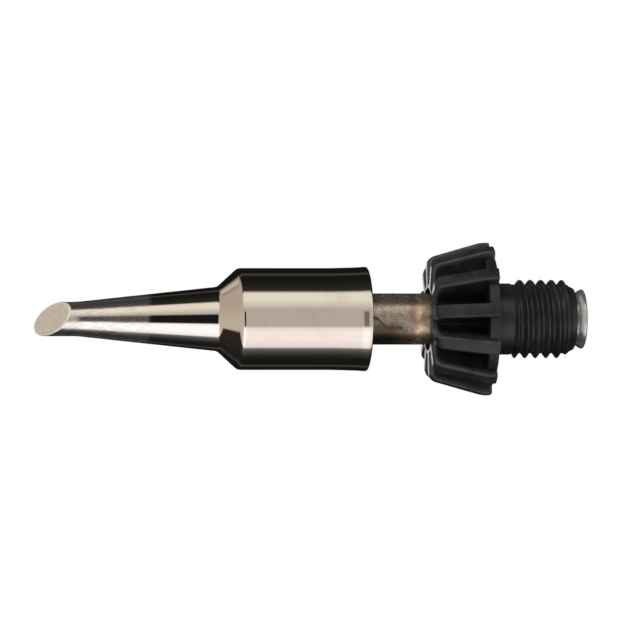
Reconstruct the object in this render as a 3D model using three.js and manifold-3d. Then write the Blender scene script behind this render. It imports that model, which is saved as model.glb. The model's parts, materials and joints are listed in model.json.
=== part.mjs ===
// Screw-in tip of a gas soldering iron: a hollow copper bit with a catalytic burner inside it, on a stem tube
// that a finned, threaded collar holds to the handle. Millimetres, +Z up. The origin is the centre of the stem's
// flared rear end, where it seats in the handle. +X runs out of that end, and the bit points along -X.
import * as THREE from "three";
import { mergeVertices } from "three/addons/utils/BufferGeometryUtils.js";
import Module from "manifold-3d";

const wasm = await Module();
wasm.setup();

// Driving dimensions
const totalLength = 85;
const roundSegments = 48;
const innerSegments = 32;
const clearance = 0.05;

// The copper bit and its burner barrel
const bit = {
  faceRadius: 2.62,
  faceTilt: 45, // degrees between the soldering face's normal and the axis
  faceRoll: 33, // degrees that the face is turned upwards from -Y
  parallelLength: 6.2,
  taperLength: 21.76,
  taperEndRadius: 4.95,
  shoulderLength: 3.15,
  barrelRadius: 7.82,
  barrelLength: 20.02,
  rimSwell: 0.21, // the rolled rim stands out by this much
  boreRadius: 6.7,
  floorThickness: 1.8,
  lipRadius: 6.35,
  lipThickness: 0.6,
};

const stem = { radius: 3.95, boreRadius: 3.3, innerBoreRadius: 3.0, frontX: -37.0, gauzeSeatX: -10.0 };

// The stem's flared rear end, as [x, radius] down the outside and back up the bore
const flareOutside = [
  [-1.65, 3.95],
  [-1.42, 4.0],
  [-1.2, 4.1],
  [-0.9, 4.26],
  [-0.6, 4.46],
  [-0.4, 4.57],
  [-0.18, 4.57],
  [0, 4.4],
];
const flareInside = [
  [0, 3.95],
  [-0.6, 3.6],
  [-1.5, 3.3],
];

const fin = {
  count: 12,
  firstAngle: 173, // degrees about +X from +Y: the fin nearest -Y
  thickness: 2.05,
  frontX: -24.3,
  rearX: -14.5,
  frontTopRadius: 8.4, // the front edge is straight up to here
  cornerX: -22.9,
  cornerRadius: 9.8, // the sloping edge starts here
  crownX: -16.0,
  tipRadius: 11.78,
};

const hub = {
  frontX: -24.25,
  radius: 5.45,
  mouthRadius: 4.75, // the bore is wider from the front end to mouthRearX
  mouthRearX: -23.1,
  boreRadius: 4.06,
  discFrontX: -16.15,
  discRadius: 10.5,
  neckRadius: 5.51,
};

const thread = { rootRadius: 5.29, crestRadius: 6.05, pitch: 1.655, startX: -11.3, endX: -2.75, phase: 0.742 };
const nose = { radius: 5.2, chamferX: -2.55, endX: -1.62, endRadius: 4.68, seatRadius: 4.16 };

const barrelFrontX = -totalLength + bit.parallelLength + bit.taperLength + bit.shoulderLength;
const barrelRearX = barrelFrontX + bit.barrelLength;
const chamberFloorX = barrelFrontX + bit.floorThickness;

const endCap = {
  rearX: barrelRearX - bit.lipThickness - clearance,
  thickness: 1.0,
  exhaustHoles: 8,
  exhaustRadius: 0.8,
  exhaustPitchRadius: 5.3,
};
const spacer = { thickness: 0.9, radius: 5.9 };
const diffuser = {
  radius: 2.45,
  boreRadius: 2.15,
  socketRadius: 2.92,
  socketLength: 1.4,
  holeRadius: 0.4,
  holeRows: 4,
  holesPerRow: 4,
};
const catalyst = { innerRadius: 2.6, radius: 5.8 };
const gauzeSleeve = { radius: 6.2, thickness: 0.25, windowRows: 3, windowsPerRow: 8, windowSize: 1.7 };
const flameGauze = { radius: 3.22, thickness: 0.3, holeSize: 0.65, holePitch: 1.1 };

// Materials
const metal = (color, roughness) => new THREE.MeshStandardMaterial({ color, roughness, metalness: 1 });
const plain = (color, roughness) => new THREE.MeshStandardMaterial({ color, roughness, metalness: 0 });
const material = {
  chromedCopper: metal(0xcfc6bd, 0.08),
  tintedSteel: metal(0x77695a, 0.38),
  stainless: metal(0x9a958c, 0.3),
  springSteel: metal(0x5c5a58, 0.35),
  blackPlastic: plain(0x17171a, 0.42),
  fibre: plain(0x8d8880, 0.95),
  ceramic: plain(0xe6dfd0, 0.8),
};

// Shape helpers

// A turned solid about the X axis. The outline is a list of [x, radius], run with the material on its left.
function turned(outline, segments = roundSegments) {
  const points = outline.map(([x, radius]) => new THREE.Vector2(radius, x));
  return new THREE.LatheGeometry(points, segments).rotateZ(-Math.PI / 2);
}

// A ring between two radii and two stations.
function ring(fromX, toX, innerRadius, outerRadius, segments = innerSegments) {
  return turned(
    [
      [fromX, innerRadius],
      [fromX, outerRadius],
      [toX, outerRadius],
      [toX, innerRadius],
      [fromX, innerRadius],
    ],
    segments,
  );
}

// A cylinder along X.
function rod(fromX, toX, radius, segments = innerSegments) {
  return turned(
    [
      [fromX, 0],
      [fromX, radius],
      [toX, radius],
      [toX, 0],
    ],
    segments,
  );
}

function solidOf(geometry) {
  const bare = geometry.clone();
  bare.deleteAttribute("normal");
  bare.deleteAttribute("uv");
  const merged = mergeVertices(bare, 1e-4);
  return new wasm.Manifold(
    new wasm.Mesh({
      numProp: 3,
      vertProperties: merged.attributes.position.array,
      triVerts: new Uint32Array(merged.index.array),
    }),
  );
}

function geometryOf(solid) {
  const mesh = solid.getMesh();
  const geometry = new THREE.BufferGeometry();
  geometry.setAttribute("position", new THREE.BufferAttribute(mesh.vertProperties, 3));
  geometry.setIndex(new THREE.BufferAttribute(mesh.triVerts, 1));
  return geometry;
}

// A geometry with every cutter taken away from it.
function cut(geometry, cutters) {
  return geometryOf(cutters.reduce((left, cutter) => left.subtract(solidOf(cutter)), solidOf(geometry)));
}

// A closed tube of rings: rows of points around the X axis, each row joined to the next and the last to the first.
function ringGrid(rows) {
  const around = rows[0].length;
  const positions = rows.flat(2);
  const index = [];
  for (let i = 0; i < rows.length; i++) {
    const next = (i + 1) % rows.length;
    for (let j = 0; j < around; j++) {
      const k = (j + 1) % around;
      index.push(i * around + j, i * around + k, next * around + k);
      index.push(i * around + j, next * around + k, next * around + j);
    }
  }
  const geometry = new THREE.BufferGeometry();
  geometry.setAttribute("position", new THREE.Float32BufferAttribute(positions, 3));
  geometry.setIndex(index);
  return geometry;
}

// Pieces

function tipBody() {
  const toeX = -totalLength;
  const taperX = toeX + bit.parallelLength;
  const shoulderX = taperX + bit.taperLength;
  const outside = [
    [toeX, 0],
    [toeX, bit.faceRadius],
    [taperX, bit.faceRadius],
    [shoulderX, bit.taperEndRadius],
    [barrelFrontX, bit.barrelRadius],
    [barrelRearX - 5.5, bit.barrelRadius + 0.03],
    [barrelRearX - 1.5, bit.barrelRadius + 0.6 * bit.rimSwell],
    [barrelRearX - 0.7, bit.barrelRadius + bit.rimSwell],
    [barrelRearX - 0.3, bit.barrelRadius + bit.rimSwell],
    [barrelRearX, bit.barrelRadius - 0.2],
  ];
  const inside = [
    [barrelRearX, bit.lipRadius],
    [barrelRearX - bit.lipThickness, bit.lipRadius],
    [barrelRearX - bit.lipThickness, bit.boreRadius],
    [chamberFloorX, bit.boreRadius],
    [chamberFloorX, 0],
  ];
  const size = 40;
  const tilt = THREE.MathUtils.degToRad(bit.faceTilt);
  const roll = THREE.MathUtils.degToRad(bit.faceRoll);
  const normal = new THREE.Vector3(
    -Math.cos(tilt),
    -Math.sin(tilt) * Math.cos(roll),
    Math.sin(tilt) * Math.sin(roll),
  );
  const faceCentre = new THREE.Vector3(toeX + bit.faceRadius * Math.tan(tilt), 0, 0);
  const cutter = new THREE.BoxGeometry(size, size, size)
    .translate(0, 0, size / 2)
    .applyQuaternion(new THREE.Quaternion().setFromUnitVectors(new THREE.Vector3(0, 0, 1), normal))
    .translate(...faceCentre.toArray());
  return cut(turned([...outside, ...inside]), [cutter]);
}

function chamberEndCap() {
  const frontX = endCap.rearX - endCap.thickness;
  const disc = ring(frontX, endCap.rearX, stem.radius + clearance, bit.boreRadius - clearance, roundSegments);
  const holes = [];
  for (let i = 0; i < endCap.exhaustHoles; i++) {
    const angle = (2 * Math.PI * (i + 0.5)) / endCap.exhaustHoles;
    holes.push(
      rod(frontX - 1, endCap.rearX + 1, endCap.exhaustRadius, 12)
        .translate(0, endCap.exhaustPitchRadius, 0)
        .rotateX(angle),
    );
  }
  return cut(disc, holes);
}

function stemTube() {
  return turned(
    [
      [stem.frontX, stem.innerBoreRadius],
      [stem.frontX, stem.radius],
      ...flareOutside,
      ...flareInside,
      [stem.gauzeSeatX, stem.boreRadius],
      [stem.gauzeSeatX, stem.innerBoreRadius],
      [stem.frontX, stem.innerBoreRadius],
    ],
    roundSegments,
  );
}

const diffuserRearX = stem.frontX + diffuser.socketLength;
const diffuserFrontX = chamberFloorX + 1.1;

function diffuserTube() {
  const tube = turned(
    [
      [diffuserFrontX, diffuser.boreRadius],
      [diffuserFrontX, diffuser.radius],
      [stem.frontX + 0.1, diffuser.radius],
      [stem.frontX + 0.1, diffuser.socketRadius],
      [diffuserRearX, diffuser.socketRadius],
      [diffuserRearX, diffuser.boreRadius],
      [diffuserFrontX, diffuser.boreRadius],
    ],
    innerSegments,
  );
  const holes = [];
  const span = stem.frontX - diffuserFrontX - 4;
  for (let row = 0; row < diffuser.holeRows; row++) {
    const x = diffuserFrontX + 2.4 + (span * row) / (diffuser.holeRows - 1);
    for (let i = 0; i < diffuser.holesPerRow; i++) {
      const angle = (2 * Math.PI * (i + (row % 2) / 2)) / diffuser.holesPerRow;
      holes.push(
        new THREE.CylinderGeometry(diffuser.holeRadius, diffuser.holeRadius, 1.2, 8)
          .translate(0, diffuser.radius, 0)
          .rotateX(angle)
          .translate(x, 0, 0),
      );
    }
  }
  return cut(tube, holes);
}

function diffuserPlug() {
  return rod(diffuserFrontX, diffuserFrontX + 1.2, diffuser.boreRadius - clearance);
}

const catalystFrontX = chamberFloorX + 0.1 + spacer.thickness + 0.1;
const catalystRearX = stem.frontX - 0.2 - spacer.thickness;

function frontSpacer() {
  return ring(chamberFloorX + 0.1, chamberFloorX + 0.1 + spacer.thickness, 1.2, spacer.radius);
}

function rearSpacer() {
  return ring(catalystRearX + 0.1, stem.frontX - 0.1, catalyst.innerRadius, spacer.radius);
}

function catalystSleeve() {
  return ring(catalystFrontX, catalystRearX, catalyst.innerRadius, catalyst.radius);
}

function catalystGauze() {
  const sleeve = ring(
    catalystFrontX,
    catalystRearX,
    gauzeSleeve.radius - gauzeSleeve.thickness,
    gauzeSleeve.radius,
  );
  const windows = [];
  const rowStep = (catalystRearX - catalystFrontX) / gauzeSleeve.windowRows;
  for (let row = 0; row < gauzeSleeve.windowRows; row++) {
    for (let i = 0; i < gauzeSleeve.windowsPerRow; i++) {
      windows.push(
        new THREE.BoxGeometry(gauzeSleeve.windowSize, 2, gauzeSleeve.windowSize)
          .translate(0, gauzeSleeve.radius, 0)
          .rotateX((2 * Math.PI * (i + (row % 2) / 2)) / gauzeSleeve.windowsPerRow)
          .translate(catalystFrontX + rowStep * (row + 0.5), 0, 0),
      );
    }
  }
  return cut(sleeve, windows);
}

// Height of the thread above its root, from 0 to 1, at a station and an angle about +X from +Y.
function threadHeight(x, angle) {
  const turn = x / thread.pitch - angle / (2 * Math.PI) - thread.phase;
  const fromCrest = Math.abs(turn - Math.round(turn)) * 2;
  const flank = THREE.MathUtils.clamp(1.18 - 1.45 * fromCrest, 0, 1);
  const runIn = THREE.MathUtils.smoothstep(x, thread.startX, thread.startX + 0.5);
  const runOut = 1 - THREE.MathUtils.smoothstep(x, thread.endX - 0.7, thread.endX);
  return flank * runIn * runOut;
}

// The collar without its fins: hub, rear disc, neck, right-hand thread and nose around one bore.
function threadedHub() {
  const rows = [];
  const around = 36;
  const addRow = (x, radiusAt) => {
    const row = [];
    for (let j = 0; j < around; j++) {
      const angle = (2 * Math.PI * j) / around;
      const radius = radiusAt(angle);
      row.push([x, radius * Math.cos(angle), radius * Math.sin(angle)]);
    }
    rows.push(row);
  };
  const addPlain = (outline) => outline.forEach(([x, radius]) => addRow(x, () => radius));
  addPlain([
    [hub.mouthRearX, hub.boreRadius],
    [hub.mouthRearX, hub.mouthRadius],
    [hub.frontX, hub.mouthRadius],
    [hub.frontX, hub.radius],
    [hub.discFrontX, hub.radius],
    [hub.discFrontX, hub.discRadius],
    [fin.rearX, hub.discRadius],
    [fin.rearX, hub.neckRadius],
    [thread.startX, hub.neckRadius],
  ]);
  const steps = 34;
  const depth = thread.crestRadius - thread.rootRadius;
  for (let i = 1; i < steps; i++) {
    const x = THREE.MathUtils.lerp(thread.startX, thread.endX, i / steps);
    addRow(x, (angle) => thread.rootRadius + depth * threadHeight(x, angle));
  }
  addPlain([
    [thread.endX, nose.radius],
    [nose.chamferX, nose.radius],
    [nose.endX, nose.endRadius],
    [nose.endX, nose.seatRadius],
    [nose.endX - 0.4, hub.boreRadius],
  ]);
  return ringGrid(rows);
}

// One fin: an outline in the plane of the axis, with a rounded front corner, extruded to its thickness.
function finBlade() {
  const root = hub.radius - 0.3;
  const shape = new THREE.Shape();
  shape.moveTo(fin.frontX, root);
  shape.lineTo(fin.frontX, fin.frontTopRadius);
  shape.quadraticCurveTo(fin.frontX, fin.cornerRadius - 0.35, fin.cornerX, fin.cornerRadius);
  shape.lineTo(fin.crownX, fin.tipRadius);
  shape.lineTo(fin.rearX, fin.tipRadius);
  shape.lineTo(fin.rearX, root);
  shape.closePath();
  return new THREE.ExtrudeGeometry(shape, {
    depth: fin.thickness,
    bevelEnabled: false,
    curveSegments: 4,
  }).translate(0, 0, -fin.thickness / 2);
}

function finnedCollar() {
  let collar = solidOf(threadedHub());
  for (let i = 0; i < fin.count; i++) {
    const angle = THREE.MathUtils.degToRad(fin.firstAngle + (360 * i) / fin.count);
    collar = collar.add(solidOf(finBlade().rotateX(angle)));
  }
  return geometryOf(collar);
}

function retainingRing() {
  return ring(hub.mouthRearX - 0.55, hub.mouthRearX - 0.1, stem.radius + clearance, hub.mouthRadius - 0.15);
}

// A disc of gauze: square holes on a square grid, kept inside its rim.
function gauzeDisc(frontX) {
  const holes = [];
  for (let i = -2; i <= 2; i++) {
    for (let j = -2; j <= 2; j++) {
      const y = i * flameGauze.holePitch;
      const z = j * flameGauze.holePitch;
      if (Math.hypot(y, z) + flameGauze.holeSize > flameGauze.radius) continue;
      holes.push(
        new THREE.BoxGeometry(4, flameGauze.holeSize, flameGauze.holeSize).translate(frontX, y, z),
      );
    }
  }
  return cut(rod(frontX, frontX + flameGauze.thickness, flameGauze.radius), holes);
}

const frontGauzeX = stem.gauzeSeatX + 0.1;
const rearGauzeX = frontGauzeX + 1.2;

function gauzeSpacer() {
  return ring(frontGauzeX + flameGauze.thickness + 0.1, rearGauzeX - 0.1, 2.65, flameGauze.radius);
}

function gauzeRetainer() {
  const x = rearGauzeX + flameGauze.thickness + 0.1;
  return ring(x, x + 0.6, 2.65, flameGauze.radius);
}

// The assembly
const part = new THREE.Group();

function add(parent, name, geometry, finish) {
  const mesh = new THREE.Mesh(geometry, finish);
  mesh.name = name;
  parent.add(mesh);
}

const burner = new THREE.Group();
add(burner, "tip_body", tipBody(), material.chromedCopper);
add(burner, "chamber_end_cap", chamberEndCap(), material.stainless);
add(burner, "front_spacer", frontSpacer(), material.ceramic);
add(burner, "rear_spacer", rearSpacer(), material.ceramic);
add(burner, "catalyst_sleeve", catalystSleeve(), material.fibre);
add(burner, "catalyst_gauze", catalystGauze(), material.stainless);
add(burner, "diffuser_tube", diffuserTube(), material.stainless);
add(burner, "diffuser_plug", diffuserPlug(), material.stainless);
add(burner, "stem_tube", stemTube(), material.tintedSteel);
add(burner, "flame_gauze_front", gauzeDisc(frontGauzeX), material.stainless);
add(burner, "gauze_spacer", gauzeSpacer(), material.stainless);
add(burner, "flame_gauze_rear", gauzeDisc(rearGauzeX), material.stainless);
add(burner, "gauze_retainer", gauzeRetainer(), material.springSteel);
add(burner, "collar_retaining_ring", retainingRing(), material.springSteel);
part.add(burner);

const collar = new THREE.Group();
add(collar, "finned_collar", finnedCollar(), material.blackPlastic);
part.add(collar);

export default part;
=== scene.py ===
# A gas soldering iron's screw-in tip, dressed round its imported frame.
# Metres in Blender, millimetres in the settings; +X runs along the tube to the threaded end, +Z is up.
import json

import bmesh
import bpy
import numpy as np
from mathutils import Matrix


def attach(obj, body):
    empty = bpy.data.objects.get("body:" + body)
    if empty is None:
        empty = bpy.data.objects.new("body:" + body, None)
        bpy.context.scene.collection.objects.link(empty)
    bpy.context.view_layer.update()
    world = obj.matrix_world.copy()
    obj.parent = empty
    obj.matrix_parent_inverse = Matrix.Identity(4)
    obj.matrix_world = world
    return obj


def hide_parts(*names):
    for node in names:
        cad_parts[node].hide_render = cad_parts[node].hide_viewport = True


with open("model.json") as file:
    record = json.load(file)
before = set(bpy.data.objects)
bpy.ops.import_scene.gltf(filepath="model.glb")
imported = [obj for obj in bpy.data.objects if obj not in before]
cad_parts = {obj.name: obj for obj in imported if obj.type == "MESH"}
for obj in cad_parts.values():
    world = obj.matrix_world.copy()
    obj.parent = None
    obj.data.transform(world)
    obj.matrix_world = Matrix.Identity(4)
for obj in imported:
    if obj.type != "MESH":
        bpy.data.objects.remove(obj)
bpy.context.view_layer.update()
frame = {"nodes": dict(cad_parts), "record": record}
mm = 0.001
fullTurn = 2 * np.pi


# Shape helpers

def gridFaces(rows, columns, wrapRows=False, wrapColumns=False):
    # quads between neighbouring rows and columns of a grid of points, numbered row by row
    i = np.arange(rows if wrapRows else rows - 1)[:, None]
    j = np.arange(columns if wrapColumns else columns - 1)[None, :]
    nextI = (i + 1) % rows
    nextJ = (j + 1) % columns
    corners = [i * columns + j, i * columns + nextJ, nextI * columns + nextJ, nextI * columns + j]
    return np.stack(np.broadcast_arrays(*corners), axis=-1).reshape(-1, 4)


def signedVolume(points, faces):
    # sixth of the sum of a . (b x c) over the triangles; above zero when the faces look outwards
    a, b, c, d = (points[faces[:, k]] for k in range(4))
    return np.einsum("ij,ij->", a, np.cross(b, c) + np.cross(c, d)) / 6


def outward(points, faces):
    return faces if signedVolume(points, faces) > 0 else faces[:, ::-1]


def shell(grid, wrapRows=False, wrapColumns=False):
    # one closed skin from a grid of points: (points, faces)
    points = grid.reshape(-1, 3)
    faces = gridFaces(grid.shape[0], grid.shape[1], wrapRows, wrapColumns)
    return points, outward(points, faces)


def joinShells(shells):
    starts = np.cumsum([0] + [len(points) for points, faces in shells[:-1]])
    points = np.concatenate([points for points, faces in shells])
    faces = np.concatenate([faces + start for (_, faces), start in zip(shells, starts)])
    return points, faces


def putPiece(name, points, faces, material, body, replaced, attributes=None):
    # points in millimetres; poles and seams are merged shut, and every face is smooth
    mesh = bpy.data.meshes.new(name)
    mesh.vertices.add(len(points))
    mesh.vertices.foreach_set("co", (points * mm).astype(np.float32).ravel())
    mesh.loops.add(faces.size)
    mesh.loops.foreach_set("vertex_index", np.ascontiguousarray(faces, dtype=np.int32).ravel())
    mesh.polygons.add(len(faces))
    mesh.polygons.foreach_set("loop_start", np.arange(0, faces.size, 4, dtype=np.int32))
    mesh.update(calc_edges=True)
    for key, values in (attributes or {}).items():
        layer = mesh.attributes.new(key, "FLOAT", "POINT")
        layer.data.foreach_set("value", values.astype(np.float32))
    work = bmesh.new()
    work.from_mesh(mesh)
    bmesh.ops.remove_doubles(work, verts=work.verts, dist=1e-7)
    work.to_mesh(mesh)
    work.free()
    mesh.polygons.foreach_set("use_smooth", np.ones(len(mesh.polygons), dtype=bool))
    mesh.materials.append(material)
    piece = bpy.data.objects.new(name, mesh)
    bpy.context.scene.collection.objects.link(piece)
    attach(piece, body)
    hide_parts(*replaced)
    print(name, len(mesh.polygons), "faces")
    return piece


def roundedOutline(corners, reaches, spanSteps=7, curveSteps=7, closed=False):
    # An outline of straight runs joined by quadratic curves. A curve leaves the straight run its reach
    # before the corner and meets the next run as far after it, so a reach of 0 is a sharp corner.
    corner = np.array(corners, dtype=float)
    reach = np.array(reaches, dtype=float)[:, None]
    before = np.roll(corner, 1, axis=0) - corner
    after = np.roll(corner, -1, axis=0) - corner
    before /= np.maximum(np.linalg.norm(before, axis=1, keepdims=True), 1e-9)
    after /= np.maximum(np.linalg.norm(after, axis=1, keepdims=True), 1e-9)
    if not closed:
        before[0] = 0
        after[-1] = 0
    enter = corner + before * reach
    leave = corner + after * reach
    t = np.linspace(0, 1, curveSteps)[None, :, None]
    curve = (1 - t) ** 2 * enter[:, None] + 2 * t * (1 - t) * corner[:, None] + t**2 * leave[:, None]
    s = (0.5 - 0.5 * np.cos(np.pi * np.linspace(0, 1, spanSteps + 2)[1:-1]))[None, :, None]
    nextEnter = np.roll(enter, -1, axis=0)
    span = leave[:, None] * (1 - s) + nextEnter[:, None] * s
    path = np.concatenate([curve, span], axis=1).reshape(-1, 2)
    if not closed:
        path = path[: len(path) - spanSteps]
    gap = np.linalg.norm(np.diff(path, axis=0), axis=1)
    return path[np.concatenate([[True], gap > 1e-6])]


def turned(outline, around):
    # an outline of (x, radius) carried round the X axis; the angle runs about +X from +Y
    angle = np.linspace(0, fullTurn, around, endpoint=False)
    x = np.repeat(outline[:, :1], around, axis=1)
    y = outline[:, 1:] * np.cos(angle)
    z = outline[:, 1:] * np.sin(angle)
    return np.stack([x, y, z], axis=-1)


def lumps(points, wavelength, seed, waves=14):
    # smooth unevenness from -1 to 1: the mean of sine waves in seeded random directions
    draw = np.random.default_rng(seed)
    direction = draw.normal(size=(waves, 3))
    direction /= np.linalg.norm(direction, axis=1, keepdims=True)
    frequency = fullTurn / (wavelength * draw.uniform(0.7, 1.6, waves))
    phase = draw.uniform(0, fullTurn, waves)
    return np.sin(points @ direction.T * frequency + phase).mean(axis=-1) * np.sqrt(waves) / 2


# Material helpers

def startMaterial(name):
    material = bpy.data.materials.new(name)
    material.use_nodes = True
    tree = material.node_tree
    return material, tree, tree.nodes["Principled BSDF"]


def node(tree, kind, inputs=None, **settings):
    new = tree.nodes.new(kind)
    for key, value in settings.items():
        setattr(new, key, value)
    for key, value in (inputs or {}).items():
        if isinstance(value, bpy.types.NodeSocket):
            tree.links.new(value, new.inputs[key])
        else:
            new.inputs[key].default_value = value
    return new


def millimetres(tree, stretch=(1, 1, 1)):
    # object coordinates in millimetres, stretched where a pattern needs it
    place = node(tree, "ShaderNodeTexCoord")
    scale = tuple(1000 * k for k in stretch)
    inputs = {"Vector": place.outputs["Object"], "Scale": scale}
    return node(tree, "ShaderNodeMapping", inputs).outputs[0]


def noise(tree, vector, scale, detail=4, roughness=0.55, distortion=0):
    inputs = {"Vector": vector, "Scale": scale, "Detail": detail, "Roughness": roughness}
    return node(tree, "ShaderNodeTexNoise", {**inputs, "Distortion": distortion}).outputs["Fac"]


def math(tree, operation, a, b=0.0, c=0.0):
    return node(tree, "ShaderNodeMath", {0: a, 1: b, 2: c}, operation=operation).outputs[0]


def remap(tree, value, fromLow, fromHigh, toLow=0.0, toHigh=1.0, smooth=False):
    inputs = {"Value": value, "From Min": fromLow, "From Max": fromHigh}
    inputs.update({"To Min": toLow, "To Max": toHigh})
    kind = "SMOOTHSTEP" if smooth else "LINEAR"
    return node(tree, "ShaderNodeMapRange", inputs, interpolation_type=kind).outputs["Result"]


def blendColor(tree, factor, a, b, how="MIX"):
    # data type RGBA: socket 0 is the factor, 6 and 7 the two colours, output 2 the result
    new = node(tree, "ShaderNodeMix", data_type="RGBA", blend_type=how)
    for index, value in ((0, factor), (6, a), (7, b)):
        if isinstance(value, bpy.types.NodeSocket):
            tree.links.new(value, new.inputs[index])
        else:
            new.inputs[index].default_value = value
    return new.outputs[2]


def ramp(tree, value, stops, how="LINEAR"):
    new = node(tree, "ShaderNodeValToRGB", {"Fac": value})
    band = new.color_ramp
    band.interpolation = how
    while len(band.elements) < len(stops):
        band.elements.new(1.0)
    for element, (place, color) in zip(band.elements, stops):
        element.position = place
        element.color = (*color, 1)
    return new.outputs["Color"]


def bump(tree, height, distance, strength=1.0, under=None):
    inputs = {"Height": height, "Distance": distance * mm, "Strength": strength}
    if under is not None:
        inputs["Normal"] = under
    return node(tree, "ShaderNodeBump", inputs).outputs["Normal"]


def wire(tree, shader, **sockets):
    for key, value in sockets.items():
        socket = shader.inputs["Base Color" if key == "color" else key.capitalize()]
        if isinstance(value, bpy.types.NodeSocket):
            tree.links.new(value, socket)
        else:
            socket.default_value = value


def axial(tree):
    # place along the tube in millimetres, and the plain millimetre coordinates
    place = millimetres(tree)
    return node(tree, "ShaderNodeSeparateXYZ", {0: place}).outputs["X"], place


# Finishes

platingLook = {
    "chrome": (0.88, 0.87, 0.85, 1),
    "chromeStain": (0.62, 0.57, 0.50, 1),
    "tin": (0.99, 0.99, 0.98, 1),
    "tinDark": (0.76, 0.77, 0.78, 1),
    "face": (0.89, 0.86, 0.81, 1),
    "faceDark": (0.70, 0.66, 0.61, 1),
    # near white for the face's lip: a painted highlight round the face's edge
    "edge": (1.0, 1.0, 0.97, 1),
    "tinEnd": -67.6,  # the tinning stops here along the cone
    "chromeRoughness": 0.035,
    "tinRoughness": 0.17,
    "faceRoughness": 0.62,
    "edgeRoughness": 0.5,
    "tinDullness": 0.03,  # how far the tinning, then the face, falls short of bare metal
    "faceDullness": 0.27,
    "tinLumpHeight": 0.016,
    "scratchHeight": 0.002,
}


def platedCopper(look=platingLook):
    material, tree, shader = startMaterial("platedCopper")
    x, place = axial(tree)
    wander = math(tree, "MULTIPLY_ADD", noise(tree, place, 0.5, 3), 1.2, -0.6)
    end = look["tinEnd"]
    tinned = remap(tree, math(tree, "ADD", x, wander), end + 0.5, end - 0.5, smooth=True)
    onFace = node(tree, "ShaderNodeAttribute", attribute_name="solderingFace").outputs["Fac"]
    stain = remap(tree, noise(tree, place, 0.22, 5, 0.6), 0.55, 0.85)
    streak = noise(tree, millimetres(tree, (1, 6, 6)), 0.7, 5, 0.65)
    chrome = blendColor(tree, math(tree, "MULTIPLY", stain, 0.55), look["chrome"], look["chromeStain"])
    drawn = noise(tree, millimetres(tree, (0.5, 3, 3)), 1.1, 6, 0.7)
    tin = blendColor(tree, remap(tree, drawn, 0.38, 0.68), look["tin"], look["tinDark"])
    pitted = remap(tree, noise(tree, place, 1.5, 6, 0.7), 0.46, 0.72)
    face = blendColor(tree, pitted, look["face"], look["faceDark"])
    color = blendColor(tree, tinned, chrome, tin)
    color = blendColor(tree, onFace, color, face)
    chromeRough = math(tree, "MULTIPLY_ADD", streak, 0.05, look["chromeRoughness"] - 0.02)
    tinRough = math(tree, "MULTIPLY_ADD", drawn, 0.16, look["tinRoughness"] - 0.08)
    toTin = math(tree, "SUBTRACT", tinRough, chromeRough)
    rough = math(tree, "MULTIPLY_ADD", toTin, tinned, chromeRough)
    toFace = math(tree, "SUBTRACT", look["faceRoughness"], rough)
    rough = math(tree, "MULTIPLY_ADD", toFace, onFace, rough)
    scratch = noise(tree, millimetres(tree, (0.6, 9, 9)), 2.2, 3, 0.6)
    fine = bump(tree, scratch, look["scratchHeight"], 0.3)
    lumpHeight = math(tree, "MULTIPLY", noise(tree, place, 2.6, 5, 0.6), tinned)
    normal = bump(tree, lumpHeight, look["tinLumpHeight"], 1.0, fine)
    # the attribute is 1 on the face and a half on its lip
    # painted highlight: the face's lip is painted near white, a bright line round the face
    lipHighlight = remap(tree, math(tree, "ABSOLUTE", math(tree, "SUBTRACT", onFace, 0.5)), 0.45, 0.1)
    color = blendColor(tree, lipHighlight, color, look["edge"])
    toEdge = math(tree, "SUBTRACT", look["edgeRoughness"], rough)
    rough = math(tree, "MULTIPLY_ADD", toEdge, lipHighlight, rough)
    metallic = math(tree, "MULTIPLY_ADD", tinned, -look["tinDullness"], 1.0)
    dull = math(tree, "MAXIMUM", onFace, lipHighlight)
    metallic = math(tree, "MULTIPLY_ADD", dull, -look["faceDullness"], metallic)
    wire(tree, shader, color=color, roughness=rough, normal=normal, metallic=metallic)
    return material


stemLook = {
    "silver": (0.54, 0.50, 0.45, 1),
    "mottle": (0.33, 0.29, 0.24, 1),
    "darkBrown": (0.085, 0.068, 0.050, 1),
    "stain": (0.085, 0.052, 0.030, 1),
    "straw": (0.54, 0.41, 0.26, 1),
    "cream": (0.84, 0.72, 0.56, 1),
    "purple": (0.34, 0.20, 0.20, 1),
    "collarShade": (0.36, 0.35, 0.31, 1),
    "flare": (0.66, 0.74, 0.80, 1),
    "bandAt": -26.95,  # the purple band round the tube
    "bandHalfWidth": 0.85,
    "stainFrom": -33.4,  # a brown run of flux starts here and bends down along the tube
    "stainTo": -28.6,
    "stainHalfWidth": 0.42,
    "flareFrom": -1.65,
    "bump": 0.03,
    "metallic": 0.9,
}


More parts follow.
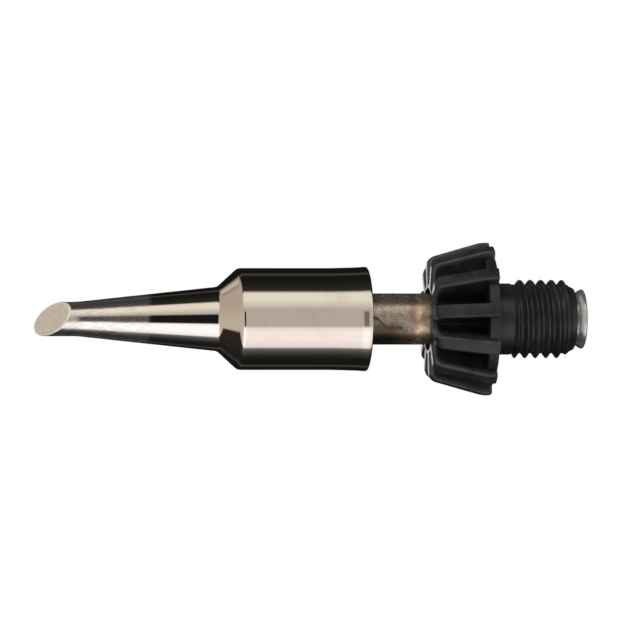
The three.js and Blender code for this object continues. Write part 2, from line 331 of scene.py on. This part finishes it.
def heatTintedSteel(look=stemLook):
    # silver grey ahead of the purple band, darker on its underside; straw and cream behind the band
    material, tree, shader = startMaterial("heatTintedSteel")
    x, place = axial(tree)
    z = node(tree, "ShaderNodeSeparateXYZ", {0: place}).outputs["Z"]
    wander = math(tree, "MULTIPLY_ADD", noise(tree, place, 0.35, 4), 1.6, -0.8)
    along = math(tree, "ADD", x, wander)
    mottle = remap(tree, noise(tree, place, 1.0, 6, 0.65), 0.42, 0.70)
    color = blendColor(tree, math(tree, "MULTIPLY", mottle, 0.75), look["silver"], look["mottle"])
    specks = remap(tree, noise(tree, place, 2.4, 5, 0.75), 0.50, 0.60, 0.0, 0.6)
    color = blendColor(tree, specks, color, look["darkBrown"])
    # darker towards the underside of the tube, more so further ahead of the band
    under = remap(tree, math(tree, "ADD", z, wander), -0.1, -1.4, smooth=True)
    ahead = remap(tree, along, -27.2, -30.5, 0.45, 0.97)
    color = blendColor(tree, math(tree, "MULTIPLY", under, ahead), color, look["darkBrown"])
    start = look["stainFrom"]
    bend = remap(tree, x, start + 2.3, start, 0.0, 1.7, smooth=True)
    waver = math(tree, "MULTIPLY_ADD", noise(tree, place, 0.9, 3), 1.1, 0.75)
    run = math(tree, "ABSOLUTE", math(tree, "SUBTRACT", math(tree, "ADD", z, waver), bend))
    ends = remap(tree, x, look["stainTo"] + 0.2, look["stainTo"] - 0.2)
    drawn = math(tree, "MULTIPLY", remap(tree, run, look["stainHalfWidth"], 0.08, smooth=True), ends)
    color = blendColor(tree, math(tree, "MULTIPLY", drawn, 0.9), color, look["stain"])
    creamy = remap(tree, noise(tree, place, 0.8, 3), 0.42, 0.60)
    warm = blendColor(tree, creamy, look["straw"], look["cream"])
    # painted shade: the tube turns a darker grey next to the collar
    nearCollar = remap(tree, along, -26.0, -24.9, 0.0, 0.8, smooth=True)
    warm = blendColor(tree, nearCollar, warm, look["collarShade"])
    warm = blendColor(tree, math(tree, "MULTIPLY", specks, 0.5), warm, look["stain"])
    past = remap(tree, along, look["bandAt"] - 0.5, look["bandAt"] + 0.5, smooth=True)
    color = blendColor(tree, past, color, warm)
    fromBand = math(tree, "ABSOLUTE", math(tree, "SUBTRACT", along, look["bandAt"]))
    band = remap(tree, fromBand, look["bandHalfWidth"], 0.0, 0.0, 0.7, smooth=True)
    color = blendColor(tree, band, color, look["purple"])
    clean = remap(tree, x, look["flareFrom"] - 0.2, look["flareFrom"] + 0.1)
    color = blendColor(tree, clean, color, look["flare"])
    dull = math(tree, "MULTIPLY_ADD", mottle, 0.08, 0.27)
    rough = math(tree, "MULTIPLY_ADD", clean, -0.06, dull)
    smoother = remap(tree, clean, 0, 1, 1.0, 0.3)
    height = math(tree, "MULTIPLY", noise(tree, place, 2.2, 5, 0.6), smoother)
    normal = bump(tree, height, look["bump"], 0.5)
    wire(tree, shader, color=color, roughness=rough, normal=normal, metallic=look["metallic"])
    return material


plasticLook = {
    "color": (0.0125, 0.0135, 0.0175, 1),
    "worn": (0.030, 0.032, 0.038, 1),
    "edge": (0.066, 0.071, 0.082, 1),  # painted highlight: lighter along the fins' rounded edges
    "sheenTint": (0.86, 0.93, 1.0, 1),
    "roughness": 0.325,
    "grain": 5.0,  # lumps per millimetre
}


def blackPlastic(look=plasticLook):
    material, tree, shader = startMaterial("blackPlastic")
    place = millimetres(tree)
    wear = remap(tree, noise(tree, place, 0.35, 5, 0.6), 0.45, 0.75)
    color = blendColor(tree, wear, look["color"], look["worn"])
    # painted highlight: the fins' rounded edges are painted lighter, in patches
    highlitEdge = node(tree, "ShaderNodeAttribute", attribute_name="edgeHighlight").outputs["Fac"]
    patches = remap(tree, noise(tree, place, 0.6, 4, 0.6), 0.35, 0.60, 0.35, 1.0)
    color = blendColor(tree, math(tree, "MULTIPLY", highlitEdge, patches), color, look["edge"])
    rough = math(tree, "MULTIPLY_ADD", noise(tree, place, 0.8, 5), 0.2, look["roughness"] - 0.1)
    grain = bump(tree, noise(tree, place, look["grain"], 3), 0.012, 0.5)
    wire(tree, shader, color=color, roughness=rough, normal=grain)
    shader.inputs["Specular Tint"].default_value = look["sheenTint"]
    return material


def metalFinish(name, color, dark, roughness, grain):
    # plain worked metal: faint turning marks round the axis, and a little dirt
    material, tree, shader = startMaterial(name)
    place = millimetres(tree)
    dirt = remap(tree, noise(tree, place, 0.8, 6, 0.65), 0.42, 0.72)
    marks = noise(tree, millimetres(tree, (8, 0.5, 0.5)), grain, 3)
    rough = math(tree, "MULTIPLY_ADD", dirt, 0.2, roughness)
    normal = bump(tree, marks, 0.01, 0.4)
    soiled = blendColor(tree, dirt, color, dark)
    wire(tree, shader, color=soiled, roughness=rough, normal=normal, metallic=1.0)
    return material


def mineralFinish(name, color, dark, stretch, scale):
    # dull ceramic or felted fibre: noise stretched along the strands
    material, tree, shader = startMaterial(name)
    strands = noise(tree, millimetres(tree, stretch), scale, 7, 0.7)
    shade = remap(tree, strands, 0.35, 0.7)
    normal = bump(tree, strands, 0.12, 0.8)
    wire(tree, shader, color=blendColor(tree, shade, dark, color), roughness=0.9, normal=normal)
    return material


platedCopperFinish = platedCopper()
heatTintFinish = heatTintedSteel()
plasticFinish = blackPlastic()
metalLooks = {  # clean colour, dirty colour, roughness, turning marks per millimetre
    "stainless": ((0.60, 0.58, 0.54, 1), (0.36, 0.33, 0.28, 1), 0.28, 1.2),
    "springSteel": ((0.24, 0.23, 0.22, 1), (0.09, 0.08, 0.07, 1), 0.34, 1.4),
}
mineralLooks = {  # light colour, dark colour, stretch of the strands, strands per millimetre
    "catalystFibre": ((0.44, 0.42, 0.39, 1), (0.16, 0.15, 0.14, 1), (0.3, 1.6, 1.6), 2.6),
    "ceramic": ((0.82, 0.78, 0.68, 1), (0.58, 0.50, 0.38, 1), (1, 1, 1), 1.8),
}
stainlessFinish, springFinish = (metalFinish(name, *look) for name, look in metalLooks.items())
fibreFinish, ceramicFinish = (mineralFinish(name, *look) for name, look in mineralLooks.items())
print("finishes made")


# The copper bit and burner barrel

bitShape = {
    "toe": -85.0,
    "faceRadius": 2.62,
    "faceTilt": 45.0,  # degrees from the axis
    "faceRoll": 33.0,  # degrees turned up from -Y
    "edgeRound": 0.32,
    "around": 256,
    "tinEnd": -67.6,
    "tinLumps": 0.012,
}
bitOutline = {
    "corners": [
        (-79.3, 2.62), (-78.6, 2.62), (-56.94, 4.95), (-53.79, 7.82), (-39.5, 7.83), (-35.4, 7.945),
        (-34.3, 8.03), (-33.76, 8.03), (-33.76, 6.35), (-34.47, 6.35), (-34.47, 6.7), (-52.05, 6.7),
        (-52.05, 0.0),
    ],
    "reaches": [0.0, 0.7, 0.45, 0.5, 0.8, 0.3, 0.2, 0.34, 0.1, 0.05, 0.05, 0.4, 0.0],
}


def solderingBit(shape=bitShape, outline=bitOutline):
    # Rings from the middle of the slanted face to its edge, round the edge, along the straight bit, and
    # then the turned outline over the cone and barrel, in at the rim and up the bore to its closed end.
    around = shape["around"]
    angle = np.linspace(0, fullTurn, around, endpoint=False)
    across = shape["faceRadius"] * np.stack([np.cos(angle), np.sin(angle)], axis=-1)
    roll = np.radians(shape["faceRoll"])
    slope = np.tan(np.radians(shape["faceTilt"]))
    lean = across @ np.array([-np.cos(roll), np.sin(roll)])
    centreX = shape["toe"] + shape["faceRadius"] * slope
    edge = np.concatenate([(centreX + slope * lean)[:, None], across], axis=1)
    centre = np.array([centreX, 0, 0])
    inward = centre - edge
    inward /= np.linalg.norm(inward, axis=1, keepdims=True)
    backward = np.array([1.0, 0, 0])
    reach = shape["edgeRound"]
    rim = edge + inward * reach
    share = np.linspace(0, 1, 26)[:, None, None]
    face = centre * (1 - share) + rim * share
    t = np.linspace(0, 1, 9)[1:, None, None]
    lip = edge + reach * ((1 - t) ** 2 * inward + t**2 * backward)
    path = roundedOutline(outline["corners"], outline["reaches"], spanSteps=26)
    body = turned(path, around)
    s = np.linspace(0, 1, 22)[1:-1, None, None]
    straight = lip[-1] * (1 - s) + body[0] * s
    grid = np.concatenate([face, lip, straight, body])
    fade = np.clip((shape["tinEnd"] + 1 - grid[..., 0]) / 4, 0, 1)
    outside = np.ones(len(grid))
    outside[: len(face)] = np.linspace(0, 0.35, len(face)) ** 2
    unevenness = lumps(grid, 3.4, 11) + 0.5 * lumps(grid, 1.5, 12)
    swell = shape["tinLumps"] * unevenness * fade * outside[:, None]
    radial = grid * np.array([0, 1, 1])
    radial /= np.maximum(np.linalg.norm(radial, axis=-1, keepdims=True), 1e-6)
    grid = grid + radial * swell[..., None]
    onFace = np.zeros(grid.shape[:2])
    onFace[: len(face)] = 1
    # a half on the lip, which the bit's material paints as a highlight
    onFace[len(face) : len(face) + len(lip) - 2] = 0.5
    points, faces = shell(grid, wrapColumns=True)
    return putPiece(
        "solderingBit", points, faces, platedCopperFinish,
        "tip_assembly", ["tip_body"], {"solderingFace": onFace.ravel()},
    )


solderingBit()


# The stem tube with its flared end

stemOutline = {
    "corners": [
        (-37.0, 3.0), (-37.0, 3.95), (-1.65, 3.95), (-1.2, 4.08), (-0.6, 4.48), (-0.2, 4.64),
        (0.0, 4.38), (0.0, 3.95), (-0.6, 3.6), (-1.5, 3.3), (-10.0, 3.3), (-10.0, 3.0),
    ],
    "reaches": [0.1, 0.15, 0.2, 0.18, 0.14, 0.12, 0.1, 0.1, 0.2, 0.3, 0.1, 0.1],
    "around": 160,
}


def stemTube(outline=stemOutline):
    path = roundedOutline(outline["corners"], outline["reaches"], closed=True, spanSteps=12)
    points, faces = shell(turned(path, outline["around"]), wrapRows=True, wrapColumns=True)
    return putPiece(
        "stemTube", points, faces, heatTintFinish, "tip_assembly", ["stem_tube"]
    )


stemTube()


# The black collar: fins, hub, rear disc, neck, thread and nose

finShape = {
    "count": 12,
    "firstAngle": 173.0,  # degrees about +X from +Y
    "halfThickness": 1.03,
    "edgeRound": 0.26,
    "frontRound": 0.6,
    "rootFlare": 0.35,
    "hubRadius": 5.45,
    "corners": [(-24.3, 4.9), (-24.3, 9.4), (-16.0, 11.78), (-14.55, 11.78), (-14.55, 4.9)],
    "reaches": [0.0, 1.3, 0.7, 0.35, 0.0],
}


def finBlades(shape=finShape):
    # A blade is its outline in the plane of the axis, seen edge-on: from the root line on one side, out
    # over the flat side to a rounded edge, across the rim, and back down the other side to the root.
    path = roundedOutline(shape["corners"], shape["reaches"], spanSteps=14, curveSteps=10)
    tangent = np.gradient(path, axis=0)
    tangent /= np.linalg.norm(tangent, axis=1, keepdims=True)
    inward = np.stack([tangent[:, 1], -tangent[:, 0]], axis=-1)
    facesFront = np.clip(tangent[:, 1:], 0, 1)
    reach = shape["edgeRound"] + (shape["frontRound"] - shape["edgeRound"]) * facesFront
    inset = path + inward * reach
    along = np.linspace(0, 1, len(path))
    rootX = inset[0, 0] * (1 - along) + inset[-1, 0] * along
    root = np.stack([rootX, np.full(len(path), path[0, 1])], axis=-1)
    share = np.concatenate([np.linspace(0, 0.3, 9), np.linspace(0.3, 1, 7)[1:]])[:, None, None]
    side = root * (1 - share) + inset * share
    flare = shape["rootFlare"] * np.exp(-np.maximum(side[..., 1] - shape["hubRadius"], 0) / 0.28)
    sideHalf = shape["halfThickness"] + flare
    turn = np.linspace(0, np.pi / 2, 7)[1:, None, None]
    edge = inset - inward * reach * np.sin(turn)
    edgeHalf = shape["halfThickness"] - reach[:, 0] * (1 - np.cos(turn[..., 0]))
    upper = np.concatenate([side, edge])
    upperHalf = np.concatenate([sideHalf, edgeHalf])
    place = np.concatenate([upper, upper[::-1]])
    across = np.concatenate([upperHalf, -upperHalf[::-1]])
    blade = np.concatenate([place, across[..., None]], axis=-1).transpose(1, 0, 2)
    ends = blade[[0, -1]].mean(axis=1, keepdims=True) + 0 * blade[[0, -1]]
    blade = np.concatenate([ends[:1], blade, ends[1:]])
    turns = shape["firstAngle"] + 360 / shape["count"] * np.arange(shape["count"])
    angle = np.radians(turns)[:, None, None]
    x, radius, offset = blade[..., 0], blade[..., 1], blade[..., 2]
    y = radius * np.cos(angle) - offset * np.sin(angle)
    z = radius * np.sin(angle) + offset * np.cos(angle)
    grids = np.stack([x + 0 * angle, y, z], axis=-1)
    return [shell(grid, wrapColumns=True) for grid in grids]


threadShape = {
    "from": -11.3,
    "to": -2.5,
    "pitch": 1.655,
    "phase": 0.57,  # turns
    "rootRadius": 5.29,
    "crestRadius": 6.05,
    "runIn": 0.5,
    "runOut": 0.8,
    "crestFlat": 0.10,  # shares of the pitch
    "rootFlat": 0.16,
    "around": 192,
    "rowsPerTurn": 26,
}
collarOutline = {
    "front": [
        (-23.1, 4.06), (-23.1, 4.75), (-24.25, 4.75), (-24.25, 5.45), (-16.15, 5.45), (-16.15, 10.5),
        (-14.5, 10.5), (-14.5, 5.51), (-11.5, 5.5), (-11.3, 5.35),
    ],
    "frontReaches": [0.1, 0.1, 0.15, 0.2, 0.35, 0.3, 0.25, 0.2, 0.1, 0.0],
    "rear": [
        (-2.5, 5.24), (-2.4, 5.14), (-1.64, 4.74), (-1.62, 4.6), (-1.62, 4.16), (-2.0, 4.06),
        (-23.1, 4.06),
    ],
    "rearReaches": [0.0, 0.12, 0.02, 0.06, 0.06, 0.1, 0.0],
}


def threadHeight(x, angle, shape):
    # share of the thread's depth at a place along the axis and an angle round it: a trapezoid that
    # climbs one pitch in a turn, right-hand, with softened corners, fading in and out at its two ends
    turns = (x - shape["from"]) / shape["pitch"] - angle / fullTurn - shape["phase"]
    fromCrest = 2 * np.abs(turns - np.round(turns))
    flank = (1 - shape["rootFlat"] - fromCrest) / (1 - shape["rootFlat"] - shape["crestFlat"])
    flank = np.clip(flank, 0, 1)
    soft = flank**2 * (3 - 2 * flank)
    height = 0.75 * flank + 0.25 * soft
    runIn = np.clip((x - shape["from"]) / shape["runIn"], 0, 1)
    runOut = np.clip((shape["to"] - x) / shape["runOut"], 0, 1)
    return height * runIn * runOut


def collarBody(shape=threadShape, outline=collarOutline):
    # one closed skin turned round the axis, with the thread's rows standing out where it winds
    around = shape["around"]
    angle = np.linspace(0, fullTurn, around, endpoint=False)
    front = turned(roundedOutline(outline["front"], outline["frontReaches"]), around)
    rear = turned(roundedOutline(outline["rear"], outline["rearReaches"]), around)
    rows = int((shape["to"] - shape["from"]) / shape["pitch"] * shape["rowsPerTurn"])
    x = np.linspace(shape["from"], shape["to"], rows)[1:-1, None] + 0 * angle
    depth = shape["crestRadius"] - shape["rootRadius"]
    radius = shape["rootRadius"] + depth * threadHeight(x, angle, shape)
    wound = np.stack([x, radius * np.cos(angle), radius * np.sin(angle)], axis=-1)
    grid = np.concatenate([front, wound, rear])
    return shell(grid, wrapRows=True, wrapColumns=True)


def finnedCollar():
    # a blade's rows run up one side, over its edge and down the other: the painted highlight is on the
    # middle rows
    body, blades = collarBody(), finBlades()
    half = np.array([0.0] * 14 + [0.6, 1.0, 0.8, 0.4, 0.15, 0.0, 0.0])
    rows = np.concatenate([half, half[::-1]])
    highlitEdge = [np.zeros(len(body[0]))] + [np.resize(rows, len(points)) for points, faces in blades]
    points, faces = joinShells([body, *blades])
    return putPiece(
        "finnedCollar", points, faces, plasticFinish, "collar", ["finned_collar"],
        {"edgeHighlight": np.concatenate(highlitEdge)},
    )


finnedCollar()


# Small rings and the woven gauze that show at the ends

def turnedRing(name, corners, reach, finish, replaced, around=128):
    path = roundedOutline(corners, [reach] * len(corners), closed=True)
    points, faces = shell(turned(path, around), wrapRows=True, wrapColumns=True)
    return putPiece(name, points, faces, finish, "tip_assembly", [replaced])


ringShapes = {
    "collarRing": [(-23.65, 4.0), (-23.65, 4.6), (-23.2, 4.6), (-23.2, 4.0)],
    "gauzeRing": [(-8.3, 2.65), (-8.3, 3.22), (-7.7, 3.22), (-7.7, 2.65)],
}
ringPieces = {"collarRing": (0.1, "collar_retaining_ring"), "gauzeRing": (0.12, "gauze_retainer")}
for name, (reach, replaced) in ringPieces.items():
    turnedRing(name, ringShapes[name], reach, springFinish, replaced)

gauzeShape = {"x": -8.55, "radius": 3.18, "pitch": 0.42, "wire": 0.085, "sides": 7, "steps": 90}


def wovenGauze(shape=gauzeShape):
    # straight wires in two directions, each rising and dipping by a wire's width over the others
    pitch, wireRadius = shape["pitch"], shape["wire"]
    count = int(shape["radius"] / pitch)
    offset = np.arange(-count, count + 1) * pitch
    half = np.sqrt(np.maximum(shape["radius"] ** 2 - offset**2, 0.01)) - wireRadius
    t = np.linspace(-1, 1, shape["steps"])
    along = half[:, None] * t
    parity = np.where(np.arange(len(offset)) % 2 == 0, 1.0, -1.0)[:, None]
    rise = wireRadius * parity * np.cos(np.pi * along / pitch)
    ring = np.linspace(0, fullTurn, shape["sides"], endpoint=False)
    taper = np.where(np.abs(t) == 1, 0.0, 1.0)[None, :, None]
    outX = wireRadius * np.cos(ring) * taper
    outSide = wireRadius * np.sin(ring) * taper
    x = shape["x"] + rise[..., None] + outX
    side = offset[:, None, None] + outSide
    run = along[..., None] + 0 * ring
    warp = np.stack([x, side, run], axis=-1)
    weft = np.stack([shape["x"] - rise[..., None] + outX, run, side], axis=-1)
    points, faces = joinShells([shell(strand, wrapColumns=True) for strand in [*warp, *weft]])
    return putPiece(
        "wovenGauze", points, faces, stainlessFinish, "tip_assembly", ["flame_gauze_rear"]
    )


wovenGauze()

finishes = {
    "stainless": stainlessFinish,
    "catalyst_fibre": fibreFinish,
    "ceramic": ceramicFinish,
    "spring_steel": springFinish,
}
for row in frame["record"]["subparts"]:
    if row["material_slot"] in finishes:
        cadNode = frame["nodes"][row["node"]]
        cadNode.data.materials.clear()
        cadNode.data.materials.append(finishes[row["material_slot"]])
print("pieces made")


# Studio: a white tent with dark gaps, a pale floor, soft lamps and a level camera

tentBands = [  # (degrees about the axis from the camera's side, upwards positive, colour)
    (-180, (0.008, 0.008, 0.008)),
    (-140, (0.008, 0.008, 0.008)),
    (-132, (0.06, 0.056, 0.05)),
    (-124, (0.008, 0.008, 0.008)),
    (-100, (0.012, 0.011, 0.010)),
    (-88, (0.035, 0.031, 0.028)),
    (-79, (0.075, 0.067, 0.061)),
    (-71, (0.16, 0.143, 0.132)),
    (-66, (0.88, 0.76, 0.71)),
    (-48, (1.02, 0.90, 0.83)),
    (-30, (1.04, 0.91, 0.84)),
    (-21, (0.90, 0.79, 0.71)),
    (-16, (0.50, 0.43, 0.375)),
    (21, (0.50, 0.43, 0.375)),
    (30, (0.66, 0.585, 0.475)),
    (44, (0.86, 0.77, 0.65)),
    (60, (0.86, 0.765, 0.64)),
    (67, (0.030, 0.026, 0.019)),
    (80, (0.018, 0.017, 0.012)),
    (100, (0.010, 0.009, 0.009)),
    (114, (0.010, 0.009, 0.009)),
    (121, (0.07, 0.062, 0.055)),
    (128, (0.008, 0.008, 0.008)),
    (180, (0.008, 0.008, 0.008)),
]
tipBands = [  # what faces turned towards the soldering end mirror, by the same angle
    (-180, (0.010, 0.009, 0.008)),
    (-148, (0.012, 0.011, 0.010)),
    (-142, (0.11, 0.097, 0.083)),
    (-136, (0.014, 0.013, 0.011)),
    (-95, (0.026, 0.020, 0.015)),
    (-80, (0.034, 0.018, 0.011)),
    (-71, (0.034, 0.018, 0.011)),
    (-64, (0.56, 0.46, 0.365)),
    (-35, (0.575, 0.47, 0.375)),
    (0, (0.56, 0.455, 0.36)),
    (44, (0.51, 0.415, 0.323)),
    (70, (0.48, 0.385, 0.30)),
    (112, (0.465, 0.375, 0.295)),
    (116, (0.32, 0.255, 0.20)),
    (119, (0.34, 0.27, 0.21)),
    (125, (0.60, 0.52, 0.42)),
    (134, (0.47, 0.385, 0.30)),
    (140, (0.030, 0.026, 0.020)),
    (180, (0.010, 0.009, 0.008)),
]
tent = {
    "coneWhite": (1.16, 1.22, 1.28, 1),  # the bands' tint where only the cone mirrors them
    "lensAzimuth": -9.0,  # degrees
    "lensHalfWidth": 9.0,
    "lensHalfHeight": 17.0,
    "lensSoftness": 3.0,
    "lensColor": (0.010, 0.010, 0.011, 1),
    "backCard": (2.2, 2.1, 2.0, 1),  # behind the tip, mirrored only at a grazing angle
    "strength": 1.0,
}


def lightTent(look=tent):
    world = bpy.data.worlds.new("lightTent")
    bpy.context.scene.world = world
    world.use_nodes = True
    tree = world.node_tree
    tree.nodes.clear()
    place = node(tree, "ShaderNodeTexCoord").outputs["Generated"]
    split = node(tree, "ShaderNodeSeparateXYZ", {0: place})
    x, y, z = (split.outputs[k] for k in "XYZ")
    toward = math(tree, "MULTIPLY", y, -1.0)
    about = math(tree, "DEGREES", math(tree, "ARCTAN2", z, toward))
    share = remap(tree, about, -180, 180)
    bands, tipSide = (
        ramp(tree, share, [((angle + 180) / 360, color) for angle, color in stops])
        for stops in (tentBands, tipBands)
    )
    atTip = remap(tree, x, -0.35, -0.60, smooth=True)
    whiter = blendColor(tree, 1.0, bands, look["coneWhite"], "MULTIPLY")
    belowLevel = math(tree, "MULTIPLY", remap(tree, x, 0.09, -0.03), remap(tree, z, 0.05, -0.05))
    color = blendColor(tree, atTip, blendColor(tree, belowLevel, bands, whiter), tipSide)
    tipward = remap(tree, x, -0.04, -0.11, smooth=True)
    behind = math(tree, "MULTIPLY", tipward, remap(tree, y, 0.3, 0.6, smooth=True))
    level = remap(tree, math(tree, "ABSOLUTE", z), 0.17, 0.06, smooth=True)
    color = blendColor(tree, math(tree, "MULTIPLY", behind, level), color, look["backCard"])
    azimuth = math(tree, "DEGREES", math(tree, "ARCTAN2", x, toward))
    offCentre = math(tree, "ABSOLUTE", math(tree, "SUBTRACT", azimuth, look["lensAzimuth"]))
    offLevel = math(tree, "ABSOLUTE", math(tree, "DEGREES", math(tree, "ARCSINE", z)))
    soft = look["lensSoftness"]
    width, height = (
        remap(tree, off, half + soft, half - soft, smooth=True)
        for off, half in ((offCentre, look["lensHalfWidth"]), (offLevel, look["lensHalfHeight"]))
    )
    color = blendColor(tree, math(tree, "MULTIPLY", width, height), color, look["lensColor"])
    seen = node(tree, "ShaderNodeLightPath").outputs["Is Camera Ray"]
    color = blendColor(tree, seen, color, (1, 1, 1, 1))
    light = node(tree, "ShaderNodeBackground", {"Color": color, "Strength": look["strength"]})
    output = node(tree, "ShaderNodeOutputWorld")
    tree.links.new(light.outputs[0], output.inputs["Surface"])


lightTent()

floorShape = {
    "height": -60.0,
    "middle": -42.0,
    "radius": 150.0,
    "rings": 40,
    "around": 96,
    "color": (0.86, 0.86, 0.85, 1),
}


def paleFloor(shape=floorShape):
    # a flat disc whose paint thins out to nothing towards its edge
    ring = np.linspace(0, shape["radius"], shape["rings"])[:, None]
    angle = np.linspace(0, fullTurn, shape["around"], endpoint=False)
    x = ring * np.cos(angle) + shape["middle"]
    y = ring * np.sin(angle)
    grid = np.stack([x, y, np.full_like(x, shape["height"])], axis=-1)
    points = grid.reshape(-1, 3)
    faces = gridFaces(shape["rings"], shape["around"], wrapColumns=True)
    mesh = bpy.data.meshes.new("floor")
    mesh.from_pydata((points * mm).tolist(), [], faces.tolist())
    material, tree, shader = startMaterial("floorPaint")
    place = node(tree, "ShaderNodeMapping", {
        "Vector": node(tree, "ShaderNodeTexCoord").outputs["Object"],
        "Location": (-shape["middle"], 0, 0),
        "Scale": (1000, 1000, 0),
    }).outputs[0]
    distance = node(tree, "ShaderNodeVectorMath", {0: place}, operation="LENGTH").outputs["Value"]
    solid = remap(tree, distance, shape["radius"] * 0.95, shape["radius"] * 0.35, smooth=True)
    tree.links.new(solid, shader.inputs["Alpha"])
    wire(tree, shader, color=shape["color"], roughness=0.9)
    mesh.materials.append(material)
    floor = bpy.data.objects.new("floor", mesh)
    bpy.context.scene.collection.objects.link(floor)
    floor.visible_glossy = False


paleFloor()

lamps = {  # name: (place in millimetres, size, watts, colour)
    "keyLamp": ((-160, -260, 330), 260, 1.6, (1.0, 0.97, 0.92)),
    "backLamp": ((60, 300, 280), 260, 1.0, (1.0, 0.98, 0.95)),
}


def softLamps():
    target = np.array([floorShape["middle"], 0, 0])
    for name, (place, size, watts, color) in lamps.items():
        lamp = bpy.data.lights.new(name, "AREA")
        lamp.shape = "DISK"
        lamp.size = size * mm
        lamp.energy = watts
        lamp.color = color
        holder = bpy.data.objects.new(name, lamp)
        holder.location = np.array(place) * mm
        holder.rotation_euler = lookRotation(np.array(place), target)
        holder.visible_glossy = False
        bpy.context.scene.collection.objects.link(holder)


def lookRotation(place, target):
    # Euler angles that turn an object's -Z towards the target, with its +Y up
    aim = target - place
    flat = np.hypot(aim[0], aim[1])
    return (np.arctan2(flat, -aim[2]), 0.0, np.arctan2(-aim[0], aim[1]))


softLamps()

cameraPlace = {"azimuth": -7.6, "distance": 830.0, "target": (-41.0, 0, -0.15), "lens": 303.75}


def levelCamera(setup=cameraPlace):
    azimuth = np.radians(setup["azimuth"])
    target = np.array(setup["target"])
    place = target + setup["distance"] * np.array([np.sin(azimuth), -np.cos(azimuth), 0])
    camera = bpy.data.cameras.new("camera")
    camera.lens = setup["lens"]
    camera.sensor_width = 36
    camera.clip_start = 0.01
    camera.clip_end = 10
    holder = bpy.data.objects.new("camera", camera)
    holder.location = place * mm
    holder.rotation_euler = lookRotation(place, target)
    bpy.context.scene.collection.objects.link(holder)
    bpy.context.scene.camera = holder


levelCamera()
bpy.context.scene.view_settings.view_transform = "Standard"
print("studio made")
